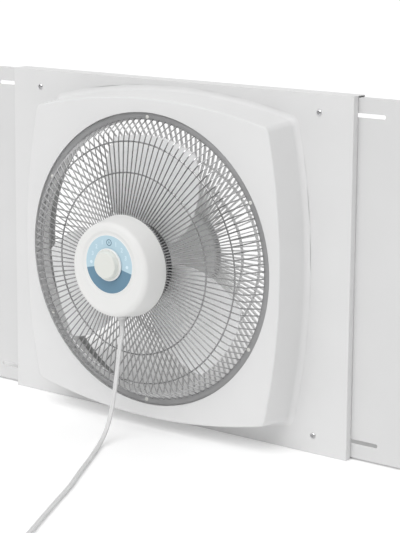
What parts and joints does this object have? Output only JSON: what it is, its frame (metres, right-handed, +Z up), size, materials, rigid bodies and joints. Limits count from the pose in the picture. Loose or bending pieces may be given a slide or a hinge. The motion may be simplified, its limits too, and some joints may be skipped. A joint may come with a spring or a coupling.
{
  "type": "window fan",
  "caption": "Window fan with a front wire guard, motor and dial on the guard, bowed bezel, pitched blades and sliding side panels.",
  "frame": {"origin": "middle of the underside of the body's bottom flange, where the fan stands on the window sill", "axes": "+X to the right seen from the room, -Y out of the front (room side), +Z up"},
  "size_m": [0.896, 0.7175, 0.569],
  "materials": {
    "sheet_white": "smooth white enamel",
    "bezel_white": "satin white moulding",
    "shroud_gray": "plain moulding",
    "guard_wire": "plated and lacquered wire",
    "grille_white": "satin white moulding",
    "screw_ivory": "painted screw heads",
    "screw_steel": "plated steel",
    "motor_black": "black enamel",
    "lamination": "punched laminations",
    "copper_wire": "varnished copper wire",
    "bronze": "sintered bronze",
    "blade_gray": "light grey moulding",
    "hub_white": "satin white moulding",
    "dial_blue": "printed plate in two blues",
    "switch_gray": "moulded switch body",
    "capacitor_black": "potted case",
    "knob_ivory": "glossy moulding",
    "spacer_white": "moulded spacer",
    "side_white": "satin white moulding",
    "cord_white": "smooth cord jacket",
    "plug_white": "moulded plug",
    "plug_brass": "bright brass"
  },
  "bodies": {
    "fan_frame": {"main_panel": "sheet_white", "bezel": "bezel_white", "shroud": "shroud_gray", "front_guard": "guard_wire", "guard_screws": "screw_ivory", "rear_guard": "grille_white", "rear_screws": "screw_steel", "motor_housing": "motor_black", "motor_bolts": "screw_steel", "stator": "lamination", "windings": "copper_wire", "front_bearing": "bronze", "rear_bearing": "bronze", "hub_cover": "hub_white", "dial_plate": "dial_blue", "rotary_switch": "switch_gray", "capacitor": "capacitor_black", "corner_screws": "screw_steel", "corner_spacers": "spacer_white", "corner_nuts": "screw_steel", "weld_stud": "screw_steel", "strain_relief": "cord_white", "power_cord": "cord_white", "cord_coil": "cord_white", "plug_lead": "cord_white", "plug_body": "plug_white", "plug_blades": "plug_brass"},
    "fan_rotor": {"rotor_core": "lamination", "motor_shaft": "screw_steel", "fan_blade": "blade_gray", "blade_nut": "screw_steel"},
    "knob": {"control_knob": "knob_ivory", "switch_shaft": "screw_steel"},
    "left_slide": {"left_side_panel": "side_white"},
    "right_slide": {"right_side_panel": "side_white"}
  },
  "joints": [
    {"name": "fan_spin", "type": "hinge", "parent": "fan_frame", "child": "fan_rotor", "pos_m": [0, -0.086, 0.2845], "axis": [0, -1, 0], "continuous": true},
    {"name": "knob_turn", "type": "hinge", "parent": "fan_frame", "child": "knob", "pos_m": [0, -0.181, 0.2933], "axis": [0, -1, 0], "range_deg": [-90, 90]},
    {"name": "left_panel_slide", "type": "slide", "parent": "fan_frame", "child": "left_slide", "axis": [1, 0, 0], "range_m": [0, 0.105]},
    {"name": "right_panel_slide", "type": "slide", "parent": "fan_frame", "child": "right_slide", "axis": [-1, 0, 0], "range_m": [0, 0.105]}
  ]
}
